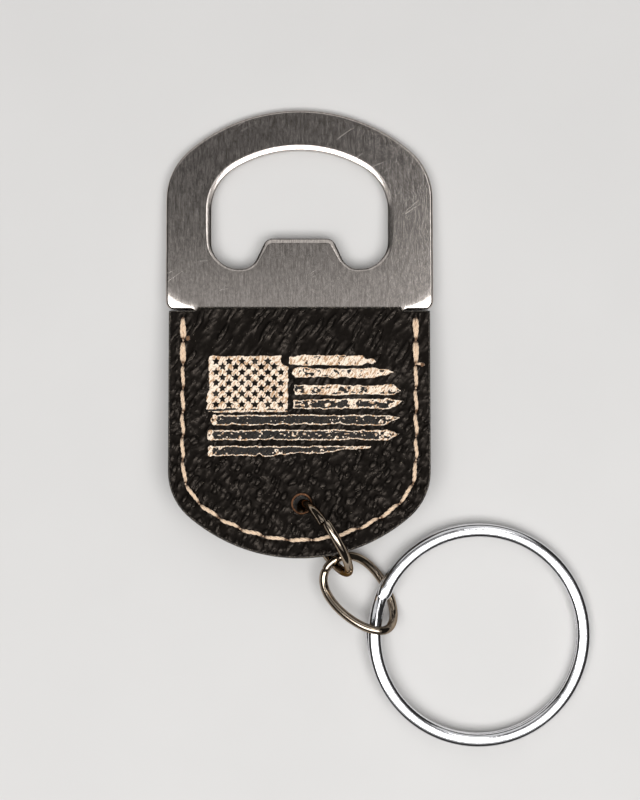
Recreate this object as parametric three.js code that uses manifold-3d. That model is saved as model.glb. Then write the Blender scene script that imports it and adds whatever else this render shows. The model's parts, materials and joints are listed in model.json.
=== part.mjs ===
// Keychain bottle opener as it lies on a table: a steel opener plate in a stitched leather grip, tail end
// propped up on the jump ring, then a twisted link and a split key ring.
// Millimetres, +X right, +Y towards the steel head, +Z up.
import * as THREE from "three";
import { mergeVertices } from "three/addons/utils/BufferGeometryUtils.js";
import Module from "manifold-3d";

const wasm = await Module();
wasm.setup();

const RIGHT_ANGLE = Math.PI / 2;
const ROUND_STEPS = 16; // points on each big arc of an outline

// ---- sizes of the opener itself, in its own frame: y = 0 at the steel shoulders, z = 0 mid-thickness ----
const head = { half: 22.2, top: 33.5, crownR: 28.3, cornerR: 11, footR: 1.3 };
const steel = 1.8; // plate thickness
const steelEdge = 0.4; // softened edges of the plate
const mouth = { half: 14.7, top: 26.75, crownR: 21, cornerR: 8.5, floor: 6.7, lobeR: 4.6 };
const tongue = { top: 11.8, half: 5.5, footHalf: 7.9, tipR: 1.6, footR: 2.8 };

const grip = { half: 21.6, end: -41.2, endR: 27.8, cornerR: 10 };
const seam = { half: 19.2, end: -38.3, endR: 25.5, cornerR: 8 };
const tangInset = 2; // steel stays this far inside the seam
const coreGap = 0.3; // round the tang
const glue = 0.05; // between the layers
const panel = 0.8; // one leather panel
const lap = { half: 16.8, over: 0.3, under: -0.3 }; // panel mouth laps the tang, stops short of the shoulders
const eye = { x: 0.4, y: -32.3, punched: 1.6, inSteel: 2.6 };

const stitches = 25;
const seamStart = -1.3; // first needle hole below the shoulders
const needleHole = 0.55;
const thread = 0.35; // radius of the thread
const threadRest = 0.03; // between a stitch and the leather it lies on
const stitchDip = 0.12; // how far a stitch's ends turn down towards their needle holes
const lockHeight = 0.1; // the two threads meet this far from the middle of the core

// ---- hardware and how it lies on the table; the table frame has the opener's own x and y origin ----
const tilt = THREE.MathUtils.degToRad(5); // tail up
const jump = {
  wire: 0.75,
  radius: 6.75,
  heading: THREE.MathUtils.degToRad(-57),
  lean: THREE.MathUtils.degToRad(14),
};
const jumpSeam = { at: THREE.MathUtils.degToRad(118), gap: 0.15 };
const link = {
  wire: 0.72,
  x: 10.16,
  y: -47.29,
  z: 3.7,
  heading: THREE.MathUtils.degToRad(-47.8),
  long: 7.53,
  wide: 4.65,
  square: -0.33, // blunts the two ends of the oval
  roll: THREE.MathUtils.degToRad(25.3),
  twist: THREE.MathUtils.degToRad(28.5),
  pitch: 0.03,
  bow: 0.59,
};
const linkSeam = { at: THREE.MathUtils.degToRad(200), gap: 0.15 };
const key = { x: 29.9, y: -54.2, outer: 18.6, width: 2.25, coil: 1.3, gap: 0.08, corner: 0.5 };
const keyRadius = key.outer - key.width / 2;
const keyJog = { at: THREE.MathUtils.degToRad(167), half: THREE.MathUtils.degToRad(9) };
const keyGripRaise = 1.75; // height of the coil's underside where the link passes below it
const swingAt = THREE.MathUtils.degToRad(-37); // round the jump ring from its outer end to the link
const holdAt = THREE.MathUtils.degToRad(165); // round the key ring to where the link holds it

// ---- small helpers ----
const xy = (x, y) => new THREE.Vector2(x, y);
const vec = (x, y, z) => new THREE.Vector3(x, y, z);
const onPlane = (p, z) => vec(p.x, p.y, z);

function arc(cx, cy, r, from, to, steps = ROUND_STEPS) {
  return Array.from({ length: steps + 1 }, (_, i) => {
    const a = from + ((to - from) * i) / steps;
    return xy(cx + r * Math.cos(a), cy + r * Math.sin(a));
  });
}

// Half an arch, from the vertical side to the top: a corner arc, then the crown arc tangent to it.
function archSide(half, top, crownR, cornerR) {
  const cx = half - cornerR;
  const crownY = top - crownR;
  const rise = Math.sqrt((crownR - cornerR) ** 2 - cx ** 2);
  const join = Math.atan2(rise, cx);
  return [
    ...arc(cx, crownY + rise, cornerR, 0, join, ROUND_STEPS / 2).slice(0, -1),
    ...arc(0, crownY, crownR, join, RIGHT_ANGLE, ROUND_STEPS),
  ];
}

const mirrored = (points) => points.map((p) => xy(-p.x, p.y)).reverse();
const flipped = (points) => points.map((p) => xy(p.x, -p.y));

// A whole arch, right side to left side over the top (or round the bottom when the end is below).
function arch(half, top, crownR, cornerR) {
  const right = archSide(half, Math.abs(top), crownR, cornerR);
  const over = [...right.slice(0, -1), ...mirrored(right)];
  return top > 0 ? over : flipped(over);
}

// Replaces a corner by an arc of radius r between the lines to its neighbours.
function fillet(before, corner, after, r, steps = 6) {
  const a = before.clone().sub(corner).normalize();
  const b = after.clone().sub(corner).normalize();
  const half = Math.acos(a.dot(b)) / 2;
  const reach = r / Math.tan(half);
  const centre = corner.clone().add(a.clone().add(b).normalize().multiplyScalar(r / Math.sin(half)));
  const start = corner.clone().addScaledVector(a, reach).sub(centre);
  const end = corner.clone().addScaledVector(b, reach).sub(centre);
  const turn = Math.atan2(start.cross(end), start.dot(end));
  return arc(centre.x, centre.y, r, start.angle(), start.angle() + turn, steps);
}

const circle = (x, y, r, steps) => arc(x, y, r, 0, 2 * Math.PI, steps).slice(0, -1);

// A flat layer of the sandwich between two heights, its edges softened by `edge`.
function layer(outline, holes, from, to, edge = 0) {
  const shape = new THREE.Shape(outline);
  shape.holes = holes.map((points) => new THREE.Path(points));
  const geometry = new THREE.ExtrudeGeometry(shape, {
    depth: to - from - 2 * edge,
    bevelEnabled: edge > 0,
    bevelThickness: edge,
    bevelSize: edge,
    bevelOffset: -edge,
    bevelSegments: 2,
  });
  return geometry.translate(0, 0, from + edge);
}

// A closed bar: `section` (points across, up) carried along stations { at, across, up }.
function bar(stations, section) {
  const n = section.length;
  const position = [];
  const index = [];
  for (const s of stations) {
    for (const p of section) {
      const v = s.at.clone().addScaledVector(s.across, p.x).addScaledVector(s.up, p.y);
      position.push(v.x, v.y, v.z);
    }
  }
  for (let i = 0; i + 1 < stations.length; i += 1) {
    for (let j = 0; j < n; j += 1) {
      const a = i * n + j;
      const b = i * n + ((j + 1) % n);
      index.push(a, b, b + n, a, b + n, a + n);
    }
  }
  const last = (stations.length - 1) * n;
  for (let j = 1; j + 1 < n; j += 1) {
    index.push(0, j + 1, j, last, last + j, last + j + 1);
  }
  const geometry = new THREE.BufferGeometry();
  geometry.setAttribute("position", new THREE.Float32BufferAttribute(position, 3));
  geometry.setIndex(index);
  return geometry;
}

// Stations along a list of points, each section square to the path and `up` kept as near `up0` as it can be.
function stationsAlong(points, up0) {
  let up = up0.clone();
  return points.map((at, i) => {
    const before = points[Math.max(i - 1, 0)];
    const after = points[Math.min(i + 1, points.length - 1)];
    const along = after.clone().sub(before).normalize();
    const across = up.clone().cross(along).normalize();
    up = along.clone().cross(across).normalize();
    return { at, across, up: up.clone() };
  });
}

const roundWire = (r, sides) => circle(0, 0, r, sides);

// ---- outlines ----
function tangEnd(extra) {
  const inset = tangInset - extra;
  return arch(seam.half - inset, seam.end + inset, seam.endR - inset, seam.cornerR - inset);
}

function plateOutline() {
  const crown = arch(head.half, head.top, head.crownR, head.cornerR);
  const foot = fillet(xy(0, 0), xy(head.half, 0), xy(head.half, head.top), head.footR, 4);
  const tang = tangEnd(0).reverse();
  return [...crown, ...mirrored(foot), xy(tang[0].x, 0), ...tang, xy(-tang[0].x, 0), ...foot];
}

function mouthOutline() {
  const floor = mouth.floor;
  const crown = arch(mouth.half, mouth.top, mouth.crownR, mouth.cornerR);
  const outer = fillet(xy(0, floor), xy(mouth.half, floor), xy(mouth.half, mouth.top), mouth.lobeR);
  const tip = xy(tongue.half, tongue.top);
  const root = xy(tongue.footHalf, floor);
  const right = [
    ...fillet(xy(0, tongue.top), tip, root, tongue.tipR, 4),
    ...fillet(tip, root, xy(mouth.half, floor), tongue.footR, 6),
    ...outer,
  ];
  return [...right, ...crown, ...mirrored(right)];
}

// The rounded tail of the grip between the two ends of its mouth, which stop under the shoulders.
function gripSides() {
  const tail = arch(grip.half, grip.end, grip.endR, grip.cornerR).reverse();
  return [xy(-grip.half, lap.under), ...tail, xy(grip.half, lap.under)];
}

function panelOutline() {
  const step = [xy(lap.half, lap.under), xy(lap.half, lap.over)];
  return [...gripSides(), ...step, ...mirrored(step)];
}

function coreOutline() {
  const inner = tangEnd(coreGap);
  return [...gripSides(), xy(inner[0].x, lap.under), ...inner, xy(-inner[0].x, lap.under)];
}

// Needle holes at equal steps along the seam, from the right shoulder round the tail to the left shoulder.
function needleHoles() {
  const tail = arch(seam.half, seam.end, seam.endR, seam.cornerR);
  const line = [xy(seam.half, seamStart), ...tail, xy(-seam.half, seamStart)];
  const path = new THREE.CurvePath();
  for (let i = 0; i + 1 < line.length; i += 1) {
    path.add(new THREE.LineCurve(line[i], line[i + 1]));
  }
  return Array.from({ length: stitches + 1 }, (_, i) => path.getPointAt(i / stitches));
}

// ---- solids ----
const needle = needleHoles();
const needleCuts = () => needle.map((p) => circle(p.x, p.y, needleHole, 6));
const half = steel / 2;
const faceZ = half + glue + panel; // outer face of a leather panel

function openerPlate() {
  const holes = [mouthOutline(), circle(eye.x, eye.y, eye.inSteel, 24)];
  return layer(plateOutline(), holes, -half, half, steelEdge);
}

function leatherPanel(side) {
  const holes = [circle(eye.x, eye.y, eye.punched, 24), ...needleCuts()];
  const inner = half + glue;
  return side > 0 ? layer(panelOutline(), holes, inner, faceZ) : layer(panelOutline(), holes, -faceZ, -inner);
}

const core = () => layer(coreOutline(), needleCuts(), -half, half);

function solid(geometry) {
  const plain = geometry.clone();
  plain.deleteAttribute("normal");
  plain.deleteAttribute("uv");
  const merged = mergeVertices(plain, 1e-4);
  const vertProperties = merged.attributes.position.array;
  const triVerts = new Uint32Array(merged.index.array);
  return new wasm.Manifold(new wasm.Mesh({ numProp: 3, vertProperties, triVerts }));
}

function geometryOf(body) {
  const mesh = body.getMesh();
  const geometry = new THREE.BufferGeometry();
  geometry.setAttribute("position", new THREE.Float32BufferAttribute(mesh.vertProperties, 3));
  geometry.setIndex(new THREE.BufferAttribute(mesh.triVerts, 1));
  return geometry;
}

// One run of lockstitch: stitches from hole to hole, and a leg down each hole to where the two threads lock.
function seamThread(side) {
  const top = faceZ + thread + threadRest;
  const low = top - stitchDip;
  const profile = [[0, low], [0.1, top], [0.9, top], [1, low]];
  const section = roundWire(thread, 5);
  const runs = needle.slice(0, -1).map((from, i) => {
    const points = profile.map(([t, z]) => onPlane(from.clone().lerp(needle[i + 1], t), z));
    return solid(bar(stationsAlong(points, vec(0, 0, 1)), section));
  });
  const legs = needle.map((p) => {
    const points = [onPlane(p, lockHeight), onPlane(p, low)];
    return solid(bar(stationsAlong(points, vec(0, 1, 0)), section));
  });
  const geometry = geometryOf([...legs, ...runs].reduce((a, b) => a.add(b)));
  return side > 0 ? geometry : geometry.rotateY(Math.PI); // the seam is the same from either face
}

// ---- the table frame ----
const tiltedUp = vec(0, Math.sin(tilt), Math.cos(tilt));
const tipReach = head.top - steelEdge;
const openerLift = tipReach * Math.sin(tilt) + half * Math.cos(tilt);

function openerPoint(x, y, z) {
  return vec(x, y, z).applyAxisAngle(vec(1, 0, 0), -tilt).add(vec(0, 0, openerLift));
}

const eyeCentre = openerPoint(eye.x, eye.y, 0);
const jumpOut = vec(Math.cos(jump.heading), Math.sin(jump.heading), 0);
const jumpSide = vec(-jumpOut.y, jumpOut.x, 0);
const jumpUp = vec(0, 0, Math.cos(jump.lean)).addScaledVector(jumpSide, Math.sin(jump.lean));
const jumpZ = jump.radius * Math.cos(jump.lean) + jump.wire;

// The ring's centre: out from the eye, so that its wire runs through the middle of the punched hole.
function jumpCentre() {
  const down = (eyeCentre.z - jumpZ) / Math.cos(jump.lean) / jump.radius;
  const out = -jump.radius * Math.sqrt(1 - down * down);
  const wireAtEye = jumpOut.clone().multiplyScalar(out).addScaledVector(jumpUp, jump.radius * down);
  return eyeCentre.clone().sub(wireAtEye).setZ(jumpZ);
}

// A point of the jump ring's wire, at an angle round the ring from its outer end.
function jumpPoint(a) {
  return jumpCentre()
    .addScaledVector(jumpOut, jump.radius * Math.cos(a))
    .addScaledVector(jumpUp, jump.radius * Math.sin(a));
}

// Angles once round a wire ring whose two ends leave a small opening.
function roundAndBack(start, open, steps) {
  return Array.from({ length: steps + 1 }, (_, i) => start + open / 2 + ((2 * Math.PI - open) * i) / steps);
}

function jumpRing() {
  const points = roundAndBack(jumpSeam.at, jumpSeam.gap / jump.radius, 56).map(jumpPoint);
  return bar(stationsAlong(points, jumpOut.clone().cross(jumpUp)), roundWire(jump.wire, 12));
}

// Centre line of the link: an oval whose plane turns with the twist from one end to the other.
function linkPoint(a) {
  const out = vec(Math.cos(link.heading), Math.sin(link.heading), 0);
  const side = vec(-out.y, out.x, 0);
  const roll = link.roll + link.twist * Math.cos(a);
  const sideways = link.wide * Math.sin(a);
  return vec(link.x, link.y, link.z)
    .addScaledVector(out, link.long * Math.cos(a) + link.square * Math.cos(3 * a))
    .addScaledVector(side, sideways * Math.cos(roll))
    .add(vec(0, 0, link.pitch * Math.cos(a) + link.bow * Math.cos(2 * a) - sideways * Math.sin(roll)));
}

function chainLink() {
  const points = roundAndBack(linkSeam.at, linkSeam.gap / link.long, 60).map(linkPoint);
  return bar(stationsAlong(points, vec(0, 0, 1)), roundWire(link.wire, 12));
}

// The split ring in its own frame: two stacked turns of one wire, the low turn stepping up through the jog.
function splitRing() {
  const rise = key.coil + key.gap;
  const start = keyJog.half;
  const turns = 4 * Math.PI - 2 * start;
  const steps = 112;
  const stations = Array.from({ length: steps + 1 }, (_, i) => {
    const along = start + (turns * i) / steps;
    const intoJog = (along - (2 * Math.PI - start)) / (2 * start);
    const z = rise * (THREE.MathUtils.smoothstep(intoJog, 0, 1) - 0.5);
    const a = keyJog.at + along;
    const across = vec(Math.cos(a), Math.sin(a), 0);
    return { at: across.clone().multiplyScalar(keyRadius).setZ(z), across, up: vec(0, 0, 1) };
  });
  return bar(stations, keySection());
}

function keySection() {
  const w = key.width / 2;
  const h = key.coil / 2;
  const c = key.corner;
  const corners = [xy(w, h), xy(w, -h), xy(-w, -h), xy(-w, h)];
  return corners.flatMap((p, i) => fillet(corners[(i + 3) % 4], p, corners[(i + 1) % 4], c, 1));
}

// ---- materials and assembly ----
const finish = (color, roughness, metalness) => new THREE.MeshStandardMaterial({ color, roughness, metalness });
const leather = finish(0x1c1917, 0.6, 0);
const filler = finish(0x3a332c, 0.8, 0);
const steelFinish = finish(0x9a9690, 0.35, 1);
const threadFinish = finish(0xe6cba8, 0.8, 0);
const nickel = finish(0x77716b, 0.25, 1);
const chrome = finish(0xc8c9cc, 0.12, 1);

function named(name, geometry, material) {
  const mesh = new THREE.Mesh(geometry, material);
  mesh.name = name;
  return mesh;
}

// A hinge: a group whose own Z is the axis; what hangs on it is attached where it already lies.
function hinge(name, at, axis, parent) {
  const group = new THREE.Group();
  group.name = name;
  group.position.copy(at);
  group.quaternion.setFromUnitVectors(vec(0, 0, 1), axis.clone().normalize());
  parent.attach(group);
  return group;
}

const group = new THREE.Group();
const table = new THREE.Group();
group.add(table);

const opener = new THREE.Group();
opener.name = "opener";
opener.rotation.x = -tilt;
opener.position.z = openerLift;
opener.add(named("opener_plate", openerPlate(), steelFinish));
opener.add(named("front_leather_panel", leatherPanel(1), leather));
opener.add(named("back_leather_panel", leatherPanel(-1), leather));
opener.add(named("filler_core", core(), filler));
opener.add(named("front_stitching", seamThread(1), threadFinish));
opener.add(named("back_stitching", seamThread(-1), threadFinish));
table.add(opener);

// Swivel: the jump ring turns in the punched eye.
const swivel = hinge("swivel", eyeCentre, tiltedUp, table);
swivel.attach(named("jump_ring", jumpRing(), nickel));

// Swing: the link turns sideways on the low outer bend of the jump ring.
const swing = hinge("swing", jumpPoint(swingAt), vec(0, 0, 1), swivel);
swing.attach(named("chain_link", chainLink(), nickel));

// Lift: the key ring folds up about its own wire where the link holds it. The link under it tips it a little.
const ring = named("key_ring", splitRing(), chrome);
const keyTilt = Math.asin(keyGripRaise / (keyRadius + key.outer));
const keyHalfHeight = key.coil + key.gap / 2;
ring.rotation.y = keyTilt;
ring.position.set(key.x, key.y, key.outer * Math.sin(keyTilt) + keyHalfHeight * Math.cos(keyTilt));
ring.updateMatrixWorld(true);
const holdPoint = vec(Math.cos(holdAt), Math.sin(holdAt), 0).multiplyScalar(keyRadius);
holdPoint.applyMatrix4(ring.matrixWorld);
const holdAxis = vec(-Math.sin(holdAt), Math.cos(holdAt), 0).transformDirection(ring.matrixWorld);
const lift = hinge("lift", holdPoint, holdAxis, swing);
lift.attach(ring);

// The shared frame starts under the middle of the whole thing.
table.updateMatrixWorld(true);
const box = new THREE.Box3().setFromObject(table, true);
table.position.set(-(box.min.x + box.max.x) / 2, -(box.min.y + box.max.y) / 2, -box.min.z);
group.updateMatrixWorld(true);

export default group;
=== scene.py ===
"""Keychain bottle opener lying on a pale table, seen from straight above.

A brushed steel head, a stitched black leather grip with an engraved flag, a dark nickel jump ring and
twisted link, and a chrome split ring."""

import json
import math

import bmesh
import bpy
import numpy as np
from mathutils import Matrix, Vector
from mathutils.geometry import delaunay_2d_cdt


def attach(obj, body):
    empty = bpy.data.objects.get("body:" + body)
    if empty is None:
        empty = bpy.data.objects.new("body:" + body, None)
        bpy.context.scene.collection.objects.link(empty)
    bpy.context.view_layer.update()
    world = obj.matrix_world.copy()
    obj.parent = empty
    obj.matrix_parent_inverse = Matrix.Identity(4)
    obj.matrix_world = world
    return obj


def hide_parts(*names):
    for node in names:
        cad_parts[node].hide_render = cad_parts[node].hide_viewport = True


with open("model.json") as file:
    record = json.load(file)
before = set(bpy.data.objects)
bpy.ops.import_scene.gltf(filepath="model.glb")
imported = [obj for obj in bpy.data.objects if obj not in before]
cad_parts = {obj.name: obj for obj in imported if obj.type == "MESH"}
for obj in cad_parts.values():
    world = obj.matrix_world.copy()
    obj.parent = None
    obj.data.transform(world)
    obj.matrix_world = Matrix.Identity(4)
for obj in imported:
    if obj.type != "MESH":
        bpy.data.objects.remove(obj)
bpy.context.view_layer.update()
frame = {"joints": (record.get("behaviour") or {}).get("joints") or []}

MM = 0.001
joints = {j["name"]: j for j in frame["joints"]}

# ---- sizes in millimetres, in the opener's frame: y = 0 at the steel shoulders, z = 0 mid-thickness ----
HEAD = dict(half=22.2, top=33.5, crown_r=28.3, corner_r=11.0)
FOOT_R = 1.3
MOUTH = dict(half=14.7, top=26.75, crown_r=21.0, corner_r=8.5)
MOUTH_FLOOR = 6.7
LOBE_R = 4.6
TONGUE_TIP = (5.5, 11.8)
TONGUE_ROOT = (7.9, 6.7)
GRIP = dict(half=21.6, top=-41.2, crown_r=27.8, corner_r=10.0)
SEAM = dict(half=19.2, top=-38.3, crown_r=25.5, corner_r=8.0)
TANG_INSET = 2.0
CORE_GAP = 0.3
EYE = (0.4, -32.3)
EYE_R = 1.45
EYE_FLARE = 0.05
EYE_IN_STEEL = 2.6
STEEL = 0.9  # half the plate's thickness
GLUE = 0.05
PANEL = 0.8
FACE = STEEL + GLUE + PANEL
LAP_HALF = 16.8
LAP_OVER = 0.3
LAP_UNDER = -0.3
STITCHES = 25
SEAM_START = -1.3
THREAD = 0.34

# The rings lie in the table's frame: x and y from under the opener's frame, z up from the table.
JUMP = dict(wire=0.75, radius=6.75)
JUMP.update(heading=math.radians(-57), lean=math.radians(14), seam=math.radians(111))
LINK = dict(wire=0.72, centre=(10.16, -47.29, 3.7), long=7.53, wide=4.65)
LINK.update(square=-0.33, pitch=0.03, bow=0.59)
LINK.update(heading=math.radians(-47.8), roll=math.radians(25.3), twist=math.radians(28.5))
LINK_SEAM = math.radians(200)
KEY = dict(outer=18.6, width=2.25, coil=1.3, gap=0.08)
KEY.update(jog=math.radians(167), jog_half=math.radians(9))
KEY_HELD = math.radians(165)
SEAM_OPENING = 0.02  # radians left between a bent wire's two cut ends
WIRE_EASE = 0.97  # bent wires are this much of their nominal size, to stay clear of each other
QUARTER = math.pi / 2


# ---- the opener's frame and the table frame, from the joints ----
def joint_point(name):
    return Vector(joints[name]["pos_m"]) / MM


def joint_axis(name):
    return Vector(joints[name]["axis"]).normalized()


opener_up = joint_axis("swivel")
TILT = math.atan2(opener_up.y, opener_up.z)
OPENER = Matrix.Translation(joint_point("swivel")) @ Matrix.Rotation(-TILT, 4, "X")
OPENER = OPENER @ Matrix.Translation((-EYE[0], -EYE[1], 0))
TABLE = Matrix.Translation((OPENER.translation.x, OPENER.translation.y, 0))


# ---- noise and small maths on arrays ----
def hashed(ix, iy, seed):
    h = ix.astype(np.int64) * 374761393 + iy.astype(np.int64) * 668265263 + seed * 974634777
    h = (h ^ (h >> 13)) * 1274126177
    h = h ^ (h >> 16)
    return (h & 0xFFFFFF) / float(0xFFFFFF)


def noise(x, y, seed=0):
    """Smooth value noise from -1 to 1, one bump per unit."""
    ix, iy = np.floor(x), np.floor(y)
    u, v = x - ix, y - iy
    u, v = u * u * (3 - 2 * u), v * v * (3 - 2 * v)
    low = hashed(ix, iy, seed) * (1 - u) + hashed(ix + 1, iy, seed) * u
    high = hashed(ix, iy + 1, seed) * (1 - u) + hashed(ix + 1, iy + 1, seed) * u
    return 2 * (low * (1 - v) + high * v) - 1


def cells(x, y, seed=0):
    """Distance to the nearest of points scattered one to a unit square, and that point's random number."""
    ix, iy = np.floor(x), np.floor(y)
    first = np.full(x.shape, 9.0)
    tone = np.zeros(x.shape)
    for dx in (-1, 0, 1):
        for dy in (-1, 0, 1):
            cx, cy = ix + dx, iy + dy
            px = cx + 0.15 + 0.7 * hashed(cx, cy, seed)
            py = cy + 0.15 + 0.7 * hashed(cx, cy, seed + 1)
            d = np.hypot(px - x, py - y)
            nearer = d < first
            tone = np.where(nearer, hashed(cx, cy, seed + 2), tone)
            first = np.where(nearer, d, first)
    return first, tone


def smoothstep(low, high, x):
    t = np.clip((x - low) / (high - low), 0, 1)
    return t * t * (3 - 2 * t)


# ---- outlines ----
def arc(cx, cy, r, start, end, steps=24):
    a = np.linspace(start, end, steps + 1)
    return np.stack([cx + r * np.cos(a), cy + r * np.sin(a)], 1)


def mirrored(points):
    return (points * (-1, 1))[::-1]


def arch(half, top, crown_r, corner_r):
    """From the right side over a crown to the left side; a negative top turns it into a rounded tail."""
    cx = half - corner_r
    crown_y = abs(top) - crown_r
    rise = math.sqrt((crown_r - corner_r) ** 2 - cx**2)
    join = math.atan2(rise, cx)
    corner = arc(cx, crown_y + rise, corner_r, 0, join)[:-1]
    crown = arc(0, crown_y, crown_r, join, QUARTER)
    right = np.vstack([corner, crown])
    over = np.vstack([right[:-1], mirrored(right)])
    return over if top > 0 else over * (1, -1)


def fillet(before, corner, after, r, steps=8):
    before, corner, after = (np.array(p, float) for p in (before, corner, after))
    a = (before - corner) / np.linalg.norm(before - corner)
    b = (after - corner) / np.linalg.norm(after - corner)
    half = math.acos(np.clip(a @ b, -1, 1)) / 2
    middle = (a + b) / np.linalg.norm(a + b)
    centre = corner + middle * r / math.sin(half)
    start = corner + a * r / math.tan(half) - centre
    end = corner + b * r / math.tan(half) - centre
    turn = math.atan2(start[0] * end[1] - start[1] * end[0], start @ end)
    first = math.atan2(start[1], start[0])
    return arc(centre[0], centre[1], r, first, first + turn, steps)


def circle(centre, r, steps):
    return arc(centre[0], centre[1], r, 0, 2 * math.pi, steps)[:-1]


def resampled(loop, step):
    """The same closed outline with points an even step apart."""
    closed = np.vstack([loop, loop[:1]])
    along = np.concatenate([[0], np.cumsum(np.linalg.norm(np.diff(closed, axis=0), axis=1))])
    keep = np.concatenate([[True], np.diff(along) > 1e-9])
    count = int(along[-1] / step)
    at = np.linspace(0, along[-1], count, endpoint=False)
    return np.stack([np.interp(at, along[keep], closed[keep, k]) for k in (0, 1)], 1)


def inward(loop):
    """Unit vectors pointing into the area that a closed outline surrounds."""
    along = np.roll(loop, -1, 0) - np.roll(loop, 1, 0)
    along /= np.linalg.norm(along, axis=1, keepdims=True)
    area = np.sum(loop[:, 0] * np.roll(loop[:, 1], -1) - loop[:, 1] * np.roll(loop[:, 0], -1))
    return np.stack([-along[:, 1], along[:, 0]], 1) * np.sign(area)


def inside(points, loop):
    """Which points a closed outline surrounds."""
    x, y = points[:, 0], points[:, 1]
    hit = np.zeros(len(points), bool)
    for (x0, y0), (x1, y1) in zip(loop, np.roll(loop, -1, 0)):
        if y0 == y1:
            continue
        crosses = (y0 > y) != (y1 > y)
        hit ^= crosses & (x < (x1 - x0) * (y - y0) / (y1 - y0) + x0)
    return hit


def distance(points, loop):
    """Distance from each point to a closed outline."""
    best = np.full(len(points), 1e9)
    for a, b in zip(loop, np.roll(loop, -1, 0)):
        ab = b - a
        t = np.clip(((points - a) @ ab) / (ab @ ab), 0, 1)
        best = np.minimum(best, np.linalg.norm(points - a - t[:, None] * ab, axis=1))
    return best


def plate_outline():
    crown = arch(**HEAD)
    foot = fillet((0, 0), (HEAD["half"], 0), (HEAD["half"], 9), FOOT_R)
    tang = tang_end(0)
    root = fillet((tang[0][0], -9), (tang[0][0], 0), (HEAD["half"], 0), 0.8, 5)
    return np.vstack([crown, mirrored(foot), mirrored(root), tang[::-1], root, foot])


def tang_end(extra):
    inset = TANG_INSET - extra
    half, top = SEAM["half"] - inset, SEAM["top"] + inset
    return arch(half, top, SEAM["crown_r"] - inset, SEAM["corner_r"] - inset)


def mouth_outline():
    side = MOUTH["half"]
    right = np.vstack([
        fillet((0, TONGUE_TIP[1]), TONGUE_TIP, TONGUE_ROOT, 1.6),
        fillet(TONGUE_TIP, TONGUE_ROOT, (side, MOUTH_FLOOR), 2.8),
        fillet((0, MOUTH_FLOOR), (side, MOUTH_FLOOR), (side, 20), LOBE_R, 14),
    ])
    return np.vstack([right, arch(**MOUTH), mirrored(right)])


def grip_outline():
    tail = arch(**GRIP)[::-1]
    half = GRIP["half"]
    corner = fillet((half, -9), (half, LAP_UNDER), (0, LAP_UNDER), 0.5, 5)
    low = (LAP_HALF + 0.4, LAP_UNDER)
    high = (LAP_HALF, LAP_OVER)
    step_foot = fillet((half, LAP_UNDER), low, high, 0.3, 3)
    step_top = fillet(low, high, (0, LAP_OVER), 0.3, 3)
    right = np.vstack([corner, step_foot, step_top])
    return np.vstack([mirrored(right), tail, right])


def seam_line():
    start = np.array([[SEAM["half"], SEAM_START]])
    return np.vstack([start, arch(**SEAM), start * (-1, 1)])


def needle_points():
    line = seam_line()
    along = np.concatenate([[0], np.cumsum(np.linalg.norm(np.diff(line, axis=0), axis=1))])
    at = np.linspace(0, along[-1], STITCHES + 1)
    return np.stack([np.interp(at, along, line[:, k]) for k in (0, 1)], 1)


# ---- meshes ----
def in_row(points, matrix):
    m = np.array(matrix)
    return (points @ m[:3, :3].T + m[:3, 3]) * MM


class Build:
    """Points and faces of one piece, gathered before its mesh is made; a face's kind is its material."""

    def __init__(self):
        self.points = []
        self.faces = []
        self.kinds = []
        self.relief = []
        self.count = 0

    def add(self, points, faces, kind=0, relief=None):
        points = np.asarray(points, float)
        faces = np.asarray(faces, int) + self.count
        self.points.append(points)
        self.faces.extend(faces.tolist())
        self.kinds.extend([kind] * len(faces))
        self.relief.append(np.zeros(len(points)) if relief is None else relief)
        self.count += len(points)

    def turned_over(self):
        """The same piece turned half round the opener's long axis, for the unseen side."""
        self.points = [p * (-1, 1, -1) for p in self.points]

    def piece(self, name, materials, body, node, matrix=OPENER, sharp=40):
        mesh = bpy.data.meshes.new(name)
        mesh.from_pydata(in_row(np.vstack(self.points), matrix).tolist(), [], self.faces)
        for material in materials:
            mesh.materials.append(material)
        mesh.polygons.foreach_set("material_index", self.kinds)
        # each point's relief value: the leather's grain, which its colour turns into painted highlight and
        # shade, or the thread's painted shade and singe
        relief = mesh.attributes.new("relief", "FLOAT", "POINT")
        relief.data.foreach_set("value", np.concatenate(self.relief))
        mesh.validate()
        merge_doubles(mesh)
        mesh.shade_smooth()
        mesh.set_sharp_from_angle(angle=math.radians(sharp))
        obj = bpy.data.objects.new(name, mesh)
        bpy.context.scene.collection.objects.link(obj)
        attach(obj, body)
        if node:
            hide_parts(node)
        return obj


def merge_doubles(mesh):
    b = bmesh.new()
    b.from_mesh(mesh)
    bmesh.ops.remove_doubles(b, verts=b.verts, dist=1e-7)
    bmesh.ops.recalc_face_normals(b, faces=b.faces)
    b.to_mesh(mesh)
    b.free()


def ring_quads(rings, count, closed=True):
    """Quads between successive rings of `count` points each."""
    j = np.arange(count if closed else count - 1)
    k = (j + 1) % count
    first = count * np.arange(rings - 1)[:, None]
    quads = np.stack([first + j, first + k, first + count + k, first + count + j], 2)
    return quads.reshape(-1, 4)


def at_height(loop, z):
    return np.column_stack([loop, np.broadcast_to(z, len(loop))])


def filled(loops, inner=None):
    """Triangles inside the first outline and outside the others, through the loose inner points."""
    points = np.vstack(loops + ([inner] if inner is not None else []))
    edges = []
    first = 0
    for loop in loops:
        j = np.arange(len(loop))
        edges += np.stack([first + j, first + (j + 1) % len(loop)], 1).tolist()
        first += len(loop)
    made = delaunay_2d_cdt([Vector(p) for p in points], edges, [], 0, 1e-7)
    corners = np.array([tuple(p) for p in made[0]])
    faces = np.array([f for f in made[2] if len(f) == 3])
    middle = corners[faces].mean(1)
    keep = inside(middle, loops[0])
    for hole in loops[1:]:
        keep &= ~inside(middle, hole)
    return corners, faces[keep]


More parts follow.
